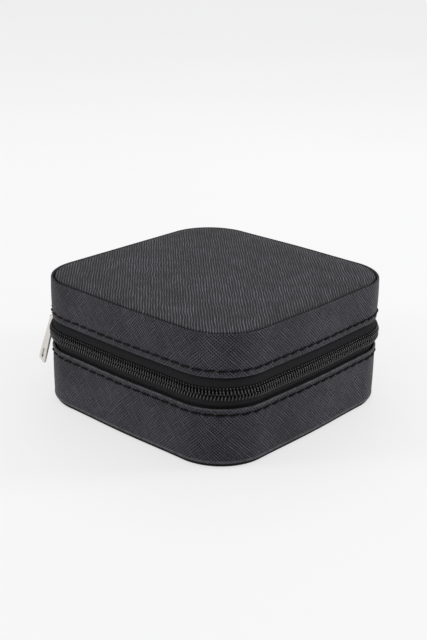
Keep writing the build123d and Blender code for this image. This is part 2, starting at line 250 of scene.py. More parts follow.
def block(name, low, high, radius, material, body, slot, replaces=(), cell=1.2 * MM, ruffle=None):
    """A soft-edged flat piece, such as a covered card or a strip. ruffle(point) gives each point's shift."""
    bm = rounded_block(low, high, radius, cell)
    layer = bm.loops.layers.uv.new("grain")
    if ruffle:
        for vert in bm.verts:
            vert.co += ruffle(vert.co)
    for face in bm.faces:
        normal = face.normal
        flat = max(range(3), key=lambda k: abs(normal[k]))
        first, second = [k for k in range(3) if k != flat]
        for loop in face.loops:
            loop[layer].uv = (loop.vert.co[first], loop.vert.co[second])
    bmesh.ops.recalc_face_normals(bm, faces=bm.faces)
    return new_object(name, to_mesh(bm, name), material, body, slot, replaces)


def panel(
    name, inset, face_z, back_z, crown, material, body, slot, replaces=(), edge=0.5 * MM, bumps=0.04 * MM,
):
    """A padded panel that fills the outline: a crowned face at face_z, a rounded edge and a flat back."""
    facing = 1 if face_z > back_z else -1
    stations, edge_steps, face_steps = 300, 5, 25
    crown_slope = 3.2 * MM
    reach = HALF - inset
    rims = [(1.0, back_z), (1.0, face_z - facing * edge)]
    for step in range(1, edge_steps + 1):
        turn = pi / 2 * step / edge_steps
        rims.append((1 - edge * (1 - cos(turn)) / reach, face_z - facing * edge * (1 - sin(turn))))
    shrink = rims[-1][0]
    rings = [(f, z, 0.0) for f, z in rims]
    for step in range(1, face_steps + 1):
        fraction = shrink * (1 - step / (face_steps + 1))
        rings.append((fraction, face_z, 1 - exp(-(shrink - fraction) * reach / crown_slope)))
    bm, layer = new_bmesh()
    outline = [place(PERIMETER * k / stations, -inset)[0] for k in range(stations)]
    loops = []
    for fraction, z, fullness in rings:
        row = []
        for point in outline:
            x, y = point.x * fraction, point.y * fraction
            unevenness = bumps * noise.noise(Vector((x * 60, y * 60, z * 10)))
            row.append(bm.verts.new((x, y, z + facing * fullness * (crown + unevenness))))
        loops.append(row)
    skin(bm, loops)
    middle = bm.verts.new((0, 0, face_z + facing * crown))
    for k in range(stations):
        bm.faces.new((loops[-1][k], loops[-1][(k + 1) % stations], middle))
    bm.faces.new(loops[0][::-1])
    bmesh.ops.recalc_face_normals(bm, faces=bm.faces)
    map_from_above(bm, layer)
    return new_object(name, to_mesh(bm, name), material, body, slot, replaces)


def lathe(name, low, high, profile, body, node):
    """A turned snap part, upright in the middle of its box. profile holds (radius, height) pairs."""
    bm, _ = new_bmesh()
    sides = 40
    centre = Vector(((low.x + high.x) / 2, (low.y + high.y) / 2, 0))
    axis = Vector((0, 0, 1))
    frame_x = axis.orthogonal().normalized()
    frame_y = axis.cross(frame_x).normalized()
    rings = []
    for radius, height in profile:
        if radius == 0.0:
            rings.append([bm.verts.new(centre + axis * height)])
            continue
        row = []
        for k in range(sides):
            angle = 2 * pi * k / sides
            spoke = frame_x * cos(angle) + frame_y * sin(angle)
            row.append(bm.verts.new(centre + axis * height + spoke * radius))
        rings.append(row)
    for a, b in zip(rings, rings[1:]):
        for k in range(sides):
            m = (k + 1) % sides
            corners = [a[k % len(a)], a[m % len(a)], b[m % len(b)], b[k % len(b)]]
            bm.faces.new(list(dict.fromkeys(corners)))
    bmesh.ops.recalc_face_normals(bm, faces=bm.faces)
    new_object(name, to_mesh(bm, name), SNAP_METAL, body, "snap_metal", [node])


# ---------------------------------------------------------------- materials

class Nodes:
    """A short way to write a material's node tree."""

    def __init__(self, name):
        self.material = bpy.data.materials.new(name)
        self.material.use_nodes = True
        self.tree = self.material.node_tree
        self.shader = self.tree.nodes["Principled BSDF"]

    def add(self, kind, **settings):
        node = self.tree.nodes.new(kind)
        for key, value in settings.items():
            setattr(node, key, value)
        return node

    def link(self, source, target):
        self.tree.links.new(source, target)

    def math(self, operation, *values):
        node = self.add("ShaderNodeMath", operation=operation)
        for socket, value in zip(node.inputs, values):
            if isinstance(value, (int, float)):
                socket.default_value = value
            else:
                self.link(value, socket)
        return node.outputs[0]

    def noise(self, vector, scale, detail=3.0, roughness=0.5):
        node = self.add("ShaderNodeTexNoise")
        node.inputs["Scale"].default_value = scale
        node.inputs["Detail"].default_value = detail
        node.inputs["Roughness"].default_value = roughness
        self.link(vector, node.inputs["Vector"])
        return node.outputs["Fac"]

    def ramp(self, value, stops):
        node = self.add("ShaderNodeValToRGB")
        ramp = node.color_ramp
        while len(ramp.elements) < len(stops):
            ramp.elements.new(0.5)
        for element, (position, colour) in zip(ramp.elements, stops):
            element.position = position
            element.color = (*colour, 1)
        self.link(value, node.inputs["Fac"])
        return node.outputs["Color"]

    def range(self, value, low, high, to_low, to_high):
        node = self.add("ShaderNodeMapRange")
        for key, number in zip(("From Min", "From Max", "To Min", "To Max"), (low, high, to_low, to_high)):
            node.inputs[key].default_value = number
        self.link(value, node.inputs["Value"])
        return node.outputs["Result"]

    def turned(self, vector, degrees, across, along):
        """The vector turned by an angle, counted in steps of across and along."""
        node = self.add("ShaderNodeMapping", vector_type="TEXTURE")
        node.inputs["Rotation"].default_value = (0, 0, radians(degrees))
        node.inputs["Scale"].default_value = (across, along, 1)
        self.link(vector, node.inputs["Vector"])
        return node.outputs["Vector"]

    def separate(self, vector):
        node = self.add("ShaderNodeSeparateXYZ")
        self.link(vector, node.inputs[0])
        return node.outputs

    def mix(self, factor, first, second):
        node = self.add("ShaderNodeMix", data_type="RGBA")
        self.link(factor, node.inputs["Factor"])
        self.link(first, node.inputs[6])
        node.inputs[7].default_value = (*second, 1)
        return node.outputs[2]

    def bump(self, height, distance, strength=1.0):
        node = self.add("ShaderNodeBump")
        node.inputs["Distance"].default_value = distance
        node.inputs["Strength"].default_value = strength
        self.link(height, node.inputs["Height"])
        return node.outputs["Normal"]

    def uv(self):
        return self.add("ShaderNodeUVMap", uv_map="grain").outputs["UV"]

    def surface(self):
        return self.add("ShaderNodeTexCoord").outputs["Object"]

    def finish(self, colour=None, roughness=None, normal=None, **numbers):
        for name, source in (("Base Color", colour), ("Roughness", roughness), ("Normal", normal)):
            if source is not None:
                self.link(source, self.shader.inputs[name])
        for name, number in numbers.items():
            self.shader.inputs[name.replace("_", " ")].default_value = number
        return self.material


def cross_grain_leather(
    name, edges=(), seam=None, pitch=0.84 * MM, weights=(1.0, 0.9), depth=0.86, sewn=None, gloss=0.20,
):
    """Charcoal leather pressed with two crossing sets of fine slanting lines, a pitch apart. edges holds the
    (height, width) of each rolled edge, which is smoother and painted paler in patches: a painted highlight.
    seam is the pair of heights between which the leather falls into full shade. weights are the strengths of
    the two sets of lines, and depth spreads their tones. sewn is the height of a stitch row and the strength
    of the painted shade in the crease that the row pulls."""
    n = Nodes(name)
    uv = n.uv()
    wander = n.noise(uv, 110, 2)
    patches = n.noise(uv, 170, 2)
    dashes = n.noise(uv, 1900, 2)
    lines = []
    for turn, weight, favoured in ((45, weights[0], True), (-45, weights[1], False)):
        phase = n.separate(n.turned(uv, turn, pitch, pitch))[0]
        wobble = n.noise(n.turned(uv, turn, 2.2 * MM, 5 * MM), 1.0, 2)
        drift = n.math("ADD", wander, n.math("MULTIPLY", wobble, 0.95))
        wave = n.math("COSINE", n.math("MULTIPLY", n.math("ADD", phase, drift), 2 * pi))
        raised = n.math("MULTIPLY_ADD", wave, 0.5, 0.5)
        streak = n.noise(n.turned(uv, turn, 0.8 * MM, 9 * MM), 1.0, 2)
        weak, strong = 0.82 * weight, weight
        share = n.range(patches, 0.38, 0.62, *((weak, strong) if favoured else (strong, weak)))
        strength = n.math("MULTIPLY", share, n.range(streak, 0.30, 0.70, 0.78, 1.10))
        lines.append(n.math("MULTIPLY", raised, strength))
    grid = n.math("MAXIMUM", lines[0], lines[1])
    grid = n.math("MULTIPLY", grid, n.range(dashes, 0.32, 0.60, 0.84, 1.04))
    height = n.math("ADD", grid, n.math("MULTIPLY", n.noise(uv, 5200, 2), 0.12))
    tone = n.range(n.noise(n.surface(), 40, 3), 0.3, 0.7, 0.88, 1.12)
    mixed = n.math("MULTIPLY", n.math("MULTIPLY_ADD", grid, 0.95, 0.02), tone)
    groove, middle = (0.001, 0.001, 0.0013), (0.0230, 0.0215, 0.0270)
    ridge = (0.105 * depth, 0.098 * depth, 0.124 * depth)
    colour = n.ramp(mixed, [(0.24, groove), (0.62, middle), (1.0, ridge)])
    roughness = n.range(grid, 0.2, 1.0, 0.72, 0.42)
    level = n.separate(n.surface())[2]
    if edges:
        edge = None
        for z, width in edges:
            away = n.math("ABSOLUTE", n.math("SUBTRACT", level, z))
            near = n.range(away, width * 0.35, width, 1.0, 0.0)
            edge = near if edge is None else n.math("MAXIMUM", edge, near)
        # painted highlight: each rolled edge is painted paler, in patches, where the light catches it, and is
        # made smoother
        painted_highlight = n.math("MULTIPLY", edge, n.range(n.noise(n.surface(), 420, 3), 0.36, 0.58, 0.35, 1.0))
        colour = n.mix(painted_highlight, colour, (0.075, 0.073, 0.081))
        roughness = n.math("SUBTRACT", roughness, n.math("MULTIPLY", painted_highlight, 0.16))
    if sewn:
        row, dark = sewn
        drift = n.range(n.noise(n.surface(), 300, 2), 0.3, 0.7, -0.16 * MM, 0.16 * MM)
        away = n.math("ABSOLUTE", n.math("SUBTRACT", level, n.math("ADD", drift, row)))
        # painted shade: the leather on either side of the stitch row is darkened to near-black, standing in
        # for the shade in the crease
        crease = n.range(away, 0.12 * MM, 0.42 * MM, dark, 0.0)
        colour = n.mix(crease, colour, (0.0012, 0.0012, 0.0014))
    if seam:
        start, end = seam
        colour = n.mix(n.range(level, start, end, 0.0, 1.0), colour, (0.0015, 0.0015, 0.0017))
    return n.finish(colour, roughness, n.bump(height, 0.13 * MM * depth), Specular_IOR_Level=gloss)


def plain_leather(name, dark, light, gloss):
    """Leather with a soft, fine pebble and no pressed lines, for the straps and the foot."""
    n = Nodes(name)
    uv = n.uv()
    grain = n.noise(uv, 1500, 4, 0.6)
    tone = n.noise(uv, 90, 2)
    colour = n.ramp(tone, [(0.3, dark), (0.7, light)])
    roughness = n.range(grain, 0.3, 0.7, 0.5, 0.66)
    return n.finish(colour, roughness, n.bump(grain, 0.06 * MM), Specular_IOR_Level=gloss)


def woven(name, dark, light, thread, diagonal=True, gloss=0.2):
    """A tight weave of threads of a given width, at a slant or square to the edge."""
    n = Nodes(name)
    uv = n.uv()
    u, v, _ = n.separate(uv)
    first = n.math("ADD", u, v) if diagonal else u
    second = n.math("SUBTRACT", u, v) if diagonal else v
    waves = [n.math("SINE", n.math("MULTIPLY", way, 2 * pi / thread)) for way in (first, second)]
    weave = n.math("MULTIPLY_ADD", n.math("MULTIPLY", waves[0], waves[1]), 0.5, 0.5)
    fuzz = n.noise(uv, 4000, 3)
    height = n.math("ADD", weave, n.math("MULTIPLY", fuzz, 0.5))
    colour = n.ramp(n.math("MULTIPLY", height, 0.66), [(0.1, dark), (0.9, light)])
    roughness = n.range(fuzz, 0.2, 0.8, 0.82, 0.98)
    return n.finish(colour, roughness, n.bump(height, 0.05 * MM), Specular_IOR_Level=gloss)


def velvet():
    """Black velvet: a short pile that catches the light at its edges."""
    n = Nodes("velvet")
    uv = n.surface()
    pile = n.noise(uv, 3800, 3, 0.7)
    nap = n.noise(uv, 120, 3)
    mixed = n.math("ADD", n.math("MULTIPLY", pile, 0.5), n.math("MULTIPLY", nap, 0.6))
    colour = n.ramp(mixed, [(0.35, (0.006, 0.006, 0.007)), (0.75, (0.022, 0.022, 0.025))])
    return n.finish(
        colour, n.range(pile, 0.2, 0.8, 0.8, 0.98), n.bump(pile, 0.1 * MM, 0.7),
        Sheen_Weight=0.45, Sheen_Roughness=0.35, Specular_IOR_Level=0.15,
    )


def nylon():
    """The coil's black nylon, moulded smooth, a little dusty in the gaps."""
    n = Nodes("coil_nylon")
    where = n.surface()
    dust = n.noise(where, 900, 3)
    colour = n.ramp(dust, [(0.35, (0.006, 0.006, 0.0065)), (0.7, (0.022, 0.022, 0.023))])
    roughness = n.range(dust, 0.3, 0.7, 0.24, 0.36)
    return n.finish(colour, roughness, n.bump(dust, 0.02 * MM), Specular_IOR_Level=0.65)


def thread():
    """Twisted polyester sewing thread."""
    n = Nodes("thread")
    u, v, _ = n.separate(n.uv())
    twist = n.math("ADD", n.math("MULTIPLY", u, 2.0), n.math("MULTIPLY", v, 6.0))
    ply = n.math("SINE", n.math("MULTIPLY", twist, 2 * pi))
    height = n.math("MULTIPLY_ADD", ply, 0.5, 0.5)
    colour = n.ramp(height, [(0.0, (0.001, 0.001, 0.0012)), (1.0, (0.0045, 0.0045, 0.005))])
    roughness = n.range(height, 0, 1, 0.75, 0.6)
    return n.finish(colour, roughness, n.bump(height, 0.05 * MM), Specular_IOR_Level=0.15)


def satin_metal(name, dark, light, rough):
    """Plated zinc with a fine satin brushing along the piece."""
    n = Nodes(name)
    where = n.surface()
    stretch = n.add("ShaderNodeMapping")
    stretch.inputs["Scale"].default_value = (1.0, 1.0, 0.06)
    n.link(where, stretch.inputs["Vector"])
    brushing = n.noise(stretch.outputs[0], 5200, 3)
    clouds = n.noise(where, 160, 3)
    mixed = n.math("ADD", n.math("MULTIPLY", brushing, 0.4), n.math("MULTIPLY", clouds, 0.6))
    colour = n.ramp(mixed, [(0.3, dark), (0.7, light)])
    roughness = n.range(clouds, 0.3, 0.7, rough - 0.06, rough + 0.06)
    return n.finish(colour, roughness, n.bump(brushing, 0.01 * MM), Metallic=1.0)


def fibre_board():
    """Grey-brown pressed board, only seen where the case is cut open."""
    n = Nodes("fibre_board")
    where = n.surface()
    fibres = n.noise(where, 700, 5, 0.7)
    colour = n.ramp(fibres, [(0.3, (0.16, 0.12, 0.08)), (0.7, (0.30, 0.24, 0.17))])
    return n.finish(colour, n.range(fibres, 0.3, 0.7, 0.8, 0.95), n.bump(fibres, 0.08 * MM))


def sheet_foam():
    """Fine-celled grey foam."""
    n = Nodes("sheet_foam")
    cells = n.add("ShaderNodeTexVoronoi")
    cells.inputs["Scale"].default_value = 2600
    n.link(n.surface(), cells.inputs["Vector"])
    distance = cells.outputs["Distance"]
    colour = n.ramp(distance, [(0.0, (0.05, 0.05, 0.055)), (0.6, (0.13, 0.13, 0.14))])
    return n.finish(colour, n.range(distance, 0, 1, 0.9, 1.0), n.bump(distance, 0.1 * MM))


LEATHER = cross_grain_leather("cross_grain_leather")
TOP_LEATHER = cross_grain_leather(
    "top_leather", seam=(TOP - 0.30 * MM, TOP - 0.48 * MM), pitch=0.97 * MM, weights=(0.45, 1.0), depth=0.95,
    gloss=0.27,
)
BASE_LEATHER = cross_grain_leather(
    "base_leather", ((BASE_RIM - 0.15 * MM, 0.42 * MM), (2.25 * MM, 0.55 * MM)), sewn=(BASE_STITCH, 0.9),
)
LID_LEATHER = cross_grain_leather(
    "lid_leather", ((LID_RIM + 0.12 * MM, 0.36 * MM),), sewn=(LID_STITCH, 0.6),
)
STRAP_LEATHER = plain_leather("strap_leather", (0.012, 0.012, 0.013), (0.024, 0.024, 0.026), 0.4)
# painted shade: the foot's leather is near-black, far darker than the band's, and stands in for the shade
# along the case's bottom edge
FOOT_LEATHER = plain_leather("foot_leather", (0.002, 0.002, 0.0022), (0.005, 0.005, 0.0055), 0.12)
TAPE = woven("zip_tape", (0.004, 0.0038, 0.0042), (0.030, 0.0285, 0.031), 0.42 * MM, gloss=0.08)
ELASTIC = woven("elastic", (0.006, 0.006, 0.007), (0.02, 0.02, 0.022), 0.5 * MM, diagonal=False)
VELVET = velvet()
NYLON = nylon()
THREAD = thread()
PULL_METAL = satin_metal("pull_metal", (0.64, 0.61, 0.575), (0.76, 0.725, 0.69), 0.42)
SNAP_METAL = satin_metal("snap_metal", (0.36, 0.35, 0.33), (0.52, 0.50, 0.47), 0.30)
BOARD = fibre_board()
FOAM = sheet_foam()


# ---------------------------------------------------------------- the leather outside

def puckered(s, z, level):
    """How far the leather is pulled in beside a stitch row, deepest where each stitch goes in."""
    depth, reach = 0.40 * MM, 0.5 * MM
    beat = 0.60 + 0.25 * cos(2 * pi * s / STITCH_PITCH)
    return -depth * beat * exp(-((z - level) / reach) ** 2)


def base_band_section(s):
    """The base's leather at s: a turned foot, a stitched groove and a proud lip rolled over the rim."""
    wave = RIM_WAVE * noise.noise(Vector((s * 55, 3.1, 0)))
    outer = [
        (-1.00, 1.62), (-0.60, 1.50), (-0.25, 1.52), (-0.02, 1.70), (0.07, 2.00), (0.08, 2.35), (0.00, 2.75),
        (0.00, 3.4), (0.04, 5.0), (0.10, 8.0), (0.12, 12.0), (0.10, 15.5), (0.06, 18.0), (0.02, 18.9),
        (0.0, 19.4), (0.0, 19.75), (0.0, 20.1), (0.02, 20.45), (0.08, 20.8), (0.20, 21.2), (0.30, 21.6),
        (0.31, 21.95),
        (0.22, 22.25), (0.04, 22.44), (-0.22, 22.50), (-0.55, 22.40), (-0.78, 22.15), (-0.90, 21.6),
    ]
    wave_from, wave_rise = 19 * MM, 3 * MM
    section = []
    for offset, z in outer:
        z *= MM
        rim = min(1.0, max(0.0, (z - wave_from) / wave_rise))
        section.append((offset * MM + wave * rim + puckered(s, z, BASE_STITCH), z + wave * rim))
    return section + [(-0.95 * MM, 12 * MM), (-0.97 * MM, 2 * MM)]


def lid_band_section(s):
    """The lid's leather at s: a rim turned in, a stitched groove and a rolled ridge along the top edge."""
    wave = RIM_WAVE * noise.noise(Vector((s * 50, 7.7, 0)))
    outer = [
        (-0.93, 34.9), (-0.88, 34.35), (-0.70, 34.08), (-0.45, 34.0), (-0.20, 34.05), (-0.03, 34.25),
        (0.03, 34.6), (0.02, 35.1), (0.0, 35.6), (0.0, 36.05), (0.0, 36.4), (0.0, 36.75), (0.02, 37.2),
        (0.04, 37.8),
        (0.10, 39.5), (0.14, 42.0), (0.13, 45.0), (0.08, 47.4), (0.04, 48.5), (0.03, 49.0), (0.00, 49.35),
        (-0.10, 49.60), (-0.28, 49.74), (-0.50, 49.74), (-0.70, 49.62), (-0.84, 49.35), (-0.92, 48.9),
    ]
    wave_reach = 2.5 * MM
    section = []
    for offset, z in outer:
        z *= MM
        rim = max(0.0, 1 - abs(z - LID_RIM) / wave_reach)
        section.append((offset * MM + wave * rim + puckered(s, z, LID_STITCH), z + wave * rim))
    return section + [(-0.95 * MM, 47.5 * MM), (-0.97 * MM, 38 * MM)]


def make_leather_outside():
    for body, section, leather in (
        ("base", base_band_section, BASE_LEATHER), ("lid", lid_band_section, LID_LEATHER),
    ):
        ring(f"{body}_band", section, leather, body, "case_leather", [f"{body}_side_leather"], flip=True)
    top = panel(
        "lid_top_panel", 1.40 * MM, TOP, TOP - 1.3 * MM, 0.55 * MM, TOP_LEATHER, "lid", "case_leather",
        ["lid_top_leather"], edge=0.85 * MM,
    )
    panel(
        "bottom_panel", 0.75 * MM, 0.0, 1.62 * MM, -0.02 * MM, FOOT_LEATHER, "base", "case_leather",
        ["base_bottom_leather"], edge=0.75 * MM, bumps=0.0,
    )
    low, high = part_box("lid_top_foam")
    foam = panel("lid_foam", 1.4 * MM, high[2] - 0.1 * MM, low[2], 0.0, FOAM, "lid", "foam", ["lid_top_foam"])


def stitch_row(name, level, body, node):
    """A row of stitches. Each rises out of the leather, lies on it and dives back in, at a slight slant."""
    bm, layer = new_bmesh()
    steps, half_length = 12, 0.425    # the length is a share of the pitch
    rise, sink = 0.16 * MM, 0.80 * MM
    for k in range(STITCH_COUNT):
        middle = (k + 0.5) * STITCH_PITCH
        slant = 0.26 * MM + 0.12 * MM * noise.noise(Vector((k * 1.7, level * 900, 0)))
        drift = 0.13 * MM * noise.noise(Vector((k * 0.61, level * 300, 5)))
        path, radii = [], []
        for step in range(steps + 1):
            t = step / (steps / 2) - 1
            lift = rise - sink * abs(t) ** 4
            point, _ = place(middle + t * STITCH_PITCH * half_length, lift)
            path.append(Vector((point.x, point.y, level + drift + slant * t)))
            radii.append((0.36 - 0.08 * abs(t) ** 2) * MM)
        tube(bm, layer, path, radii, sides=8)
    new_object(name, to_mesh(bm, name), THREAD, body, "thread", [node])


# ---------------------------------------------------------------- the zip

def tape_section(direction):
    """The section of a tape that runs from inside the wall, out past the rim and towards the coil. direction
    is 1 for the upper tape and -1 for the lower."""
    gap = (LID_RIM - BASE_RIM) / 2 / MM
    hidden = 5.0
    route = [
        (-1.45, gap + hidden), (-1.45, gap + 0.3), (-1.42, gap - 0.15), (-1.26, gap - 0.5),
        (-0.96, gap - 0.85), (-0.64, gap - 1.25), (-0.40, gap - 1.8), (-0.24, 3.3), (-0.14, 2.75),
        (-0.02, 2.55), (-0.02, 2.42), (-0.12, 2.25), (-0.14, 1.9), (-0.14, 1.6), (-0.16, 1.36),
    ]

    def section(s):
        ripple = 0.05 * noise.noise(Vector((s * 90, direction * 4, 1)))
        outer = []
        for offset, rise in route:
            outer.append(((offset + ripple * (rise < gap)) * MM, ZIP + direction * rise * MM))
        return outer + [(offset - TAPE_THICKNESS, z) for offset, z in reversed(outer)]

    return section


def make_tapes():
    ring(
        "zip_tape_low", tape_section(-1), TAPE, "base", "zip_tape", ["zip_tape_lower"],
        span=(SPINE_EDGE, PERIMETER - SPINE_EDGE), step=1.0 * MM,
    )
    ring(
        "zip_tape_high", tape_section(1), TAPE, "lid", "zip_tape", ["zip_tape_upper"],
        span=(CHAIN_START, CHAIN_END), step=1.0 * MM, flip=True,
    )
    low, top = ZIP + 0.1 * MM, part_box("zip_end_tab_left")[1][2]
    outer = [(-0.12 * MM, low), (-0.1 * MM, low + 1.6 * MM), (-0.35 * MM, top - 1.5 * MM), (-0.8 * MM, top)]
    section = outer + [(offset - TAPE_THICKNESS, z) for offset, z in reversed(outer)]
    clear = 0.5 * MM
    for name, node, span in (
        ("zip_tab_left", "zip_end_tab_left", (SPINE_EDGE, CHAIN_START - clear)),
        ("zip_tab_right", "zip_end_tab_right", (CHAIN_END + clear, PERIMETER - SPINE_EDGE)),
    ):
        ring(name, lambda s: section, TAPE, "base", "zip_tape", [node], span=span, flip=True)


def coil_tooth(bm, layer, s, direction):
    """One turn of the coil: out of the tape at its edge, down under the sewing, and up to a proud head."""
    if direction > 0:
        route = [
            (2.16, -0.10, 0.20), (2.22, 0.30, 0.24), (2.02, 0.56, 0.25), (1.72, 0.42, 0.20),
            (1.45, 0.38, 0.20), (1.18, 0.62, 0.24), (0.88, 0.90, 0.29), (0.48, 0.99, 0.30),
            (0.10, 0.92, 0.29), (-0.16, 0.68, 0.25), (-0.30, 0.26, 0.20),
        ]
    else:
        route = [
            (2.20, -0.10, 0.20), (2.28, 0.30, 0.24), (2.08, 0.62, 0.27), (1.70, 0.84, 0.28),
            (1.30, 0.88, 0.28), (0.95, 0.80, 0.27), (0.68, 0.54, 0.23), (0.42, 0.38, 0.20),
            (0.10, 0.34, 0.20), (-0.20, 0.18, 0.20),
        ]
    path, radii = [], []
    for rise, lift, radius in route:
        lean = (-0.16 * (rise - 0.4) if direction > 0 else -0.24 * (rise - 0.8)) * MM
        point, _ = place(s + lean, lift * MM)
        path.append(Vector((point.x, point.y, ZIP + direction * rise * MM)))
        radii.append(radius * MM)
    tube(bm, layer, path, radii, sides=8)


def make_coil():
    """Both halves of the coil, their teeth set half a pitch apart, and the thread that holds each half."""
    count = floor((CHAIN_END - CHAIN_START) / TOOTH_PITCH)
    for name, node, direction, shift, body in (
        ("coil_high", "zip_coil_upper", 1, 0.3, "lid"), ("coil_low", "zip_coil_lower", -1, 0.8, "base"),
    ):
        bm, layer = new_bmesh()
        for k in range(count):
            coil_tooth(bm, layer, CHAIN_START + (k + shift) * TOOTH_PITCH, direction)
        new_object(name, to_mesh(bm, name), NYLON, body, "zip_coil", [node])
        make_coil_sewing(f"{name}_sewing", direction, shift, count, body)


def make_coil_sewing(name, direction, shift, count, body):
    """The thread that sews the coil to its tape, pulled down between the teeth."""
    bm, layer = new_bmesh()
    path, radii = [], []
    stops, thread_radius = 4, 0.15 * MM
    for k in range(count * stops):
        s = CHAIN_START + (k / stops + shift) * TOOTH_PITCH
        over = 0.5 + 0.5 * cos(2 * pi * k / stops)
        point, _ = place(s, (0.30 + 0.34 * over) * MM)
        path.append(Vector((point.x, point.y, ZIP + direction * (1.42 + 0.06 * (k % 2)) * MM)))
        radii.append(thread_radius)
    tube(bm, layer, path, radii, sides=5)
    new_object(name, to_mesh(bm, name), THREAD, body, "thread")


# ---------------------------------------------------------------- the spine

def make_spine():
    """Leather and velvet strips across the back, each in two halves that meet half way up the spine."""
    outer_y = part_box("spine_leather")[1][1]
    inner_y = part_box("spine_lining")[0][1]
    middle_y = (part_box("spine_lining")[1][1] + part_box("spine_leather")[0][1]) / 2
    reach = SPINE_EDGE - 0.15 * MM
    hidden = 1.7 * MM
    bulge, tuck_depth = 0.25 * MM, 0.55 * MM
    across, along = 48, 36
    width = across + 1
    for part, near, far, material, slot in (
        ("leather", middle_y, outer_y, LEATHER, "case_leather"),
        ("lining", inner_y, middle_y, VELVET, "velvet"),
    ):
        node = f"spine_{part}"
        for half, low, high, fold in (
            ("low", BASE_RIM - hidden, ZIP, "spine_fold"), ("high", ZIP, LID_RIM + hidden, "lid_fold"),
        ):
            rows = []
            for i in range(along + 1):
                z = low + (high - low) * i / along
                bow = 0.0 if part == "lining" else bulge * cos(pi * (z - ZIP) / (LID_RIM - BASE_RIM)) ** 2
                rim = max(BASE_RIM - z, z - LID_RIM)
                tuck = tuck_depth / (1 + exp(-(rim + 0.6 * MM) / (0.25 * MM)))
                front, back = near - tuck, far + bow - tuck
                row = [(-reach + 2 * reach * j / across, back, z) for j in range(width)]
                row += [(reach - 2 * reach * j / across, front, z) for j in range(width)]
                rows.append(row)

            def uvs(i, j, low=low, high=high):
                return -reach + 2 * reach * (j % width) / across, low + (high - low) * i / along

            mesh = grid_mesh(f"spine_{part}_{half}", rows, uvs, close_columns=True, cap=True)
            piece = new_object(mesh.name, mesh, material, None, slot, [node] if half == "low" else ())
            if half == "low":
                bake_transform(piece)
            else:
                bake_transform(piece)


# ---------------------------------------------------------------- the velvet inside

def make_linings():
    rim = BASE_RIM / MM
    base = [
        (-1.72, rim - 1.2), (-1.70, rim - 0.45), (-1.95, rim - 0.12), (-2.5, rim), (-3.1, rim - 0.1),
        (-3.45, rim - 0.45), (-3.5, rim - 1.2), (-3.52, 12.0), (-3.5, 5.0), (-3.42, 3.9), (-3.2, 3.3),
        (-2.85, 3.1), (-2.83, 12.0),
    ]
    base = [(offset * MM, z * MM) for offset, z in base]
    ring("base_velvet", lambda s: base, VELVET, "base", "velvet", ["base_wall_lining"], step=2.0 * MM)
    rim = LID_RIM / MM
    top = PANEL / MM
    lid = [
        (-1.72, rim + 1.4), (-1.70, rim + 0.5), (-1.95, rim + 0.2), (-2.5, rim + 0.08), (-3.1, rim + 0.2),
        (-3.45, rim + 0.5), (-3.5, rim + 1.4), (-3.52, top - 4), (-3.5, top - 0.7), (-3.2, top - 0.1),
        (-2.85, top), (-2.83, top - 4),
    ]
    lid = [(offset * MM, z * MM) for offset, z in lid]
    ring("lid_velvet", lambda s: lid, VELVET, "lid", "velvet", ["lid_wall_lining"], step=2.0 * MM, flip=True)
    inset = 3.0 * MM
    low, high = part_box("base_floor_lining")
    panel("floor_velvet", inset, high[2], low[2], 0.1 * MM, VELVET, "base", "velvet", ["base_floor_lining"])
    low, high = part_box("lid_panel_lining")
    panel("panel_velvet", inset, low[2], high[2], 0.05 * MM, VELVET, "lid", "velvet", ["lid_panel_lining"])


def make_ring_rolls():
    """Six velvet-covered foam rolls, pressed against each other, their ends tucked in at the tray's wall."""
    play = 0.25 * MM
    reach = INNER - play
    corner = CORNER - LINING_INSET - play
    corner_at = HALF - CORNER
    around, lengthwise = 64, 46
    squareness = 2 / 2.5
    end_length, end_size = 2.4 * MM, 0.38
    for number in range(1, 7):
        low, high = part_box(f"ring_roll_{number}")
        centre_x, centre_z = (low[0] + high[0]) / 2, (low[2] + high[2]) / 2
        radius = (high[2] - low[2]) / 2
        front, back = -reach, high[1]
        bm, layer = new_bmesh()
        rings = []
        for i in range(lengthwise + 1):
            t = i / lengthwise
            y = front + (back - front) * (0.5 - 0.5 * cos(pi * t))
            end = min(y - front, back - y)
            fullness = sqrt(max(0.0, 1 - (1 - min(1.0, end / end_length)) ** 2))
            pinch = fullness * (1 - end_size) + end_size
            row = []
            for k in range(around):
                angle = 2 * pi * k / around
                x = abs(cos(angle)) ** squareness * (1 if cos(angle) > 0 else -1)
                z = abs(sin(angle)) ** squareness * (1 if sin(angle) > 0 else -1)
                crease = 1 - 0.012 * (0.5 + 0.5 * sin(y * 2600 + number)) * max(0.0, z) ** 2
                soft = 1 + 0.012 * noise.noise(Vector((x * 2 + number * 9, y * 160, z * 2)))
                px = centre_x + x * radius * pinch * soft * 0.995
                pz = centre_z + z * radius * pinch * soft * crease * 0.99
                over = abs(px) - corner_at
                limit = -reach if over <= 0 else -(corner_at + sqrt(max(0.0, corner ** 2 - over ** 2)))
                row.append(bm.verts.new((px, max(y, limit + (y - front) * 0.06), pz)))
            rings.append(row)
        skin(bm, rings)
        map_from_above(bm, layer)
        bm.faces.new(rings[0][::-1])
        bm.faces.new(rings[-1])
        bmesh.ops.recalc_face_normals(bm, faces=bm.faces)
        mesh = to_mesh(bm, f"ring_cushion_{number}")
        roll = new_object(mesh.name, mesh, VELVET, "base", "velvet", [f"ring_roll_{number}"])


def make_cards():
    """The velvet-covered partition and the two dividers that lift out."""
    for node, body in (
        ("ring_partition", "base"), ("divider_long", "divider_long"), ("divider_short", "divider_short"),
    ):
        low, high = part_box(node)
        thin = min(high[k] - low[k] for k in range(3))
        block(f"{node}_card", low, high, thin * 0.48, VELVET, body, "velvet", [node])


# ---------------------------------------------------------------- inside the lid

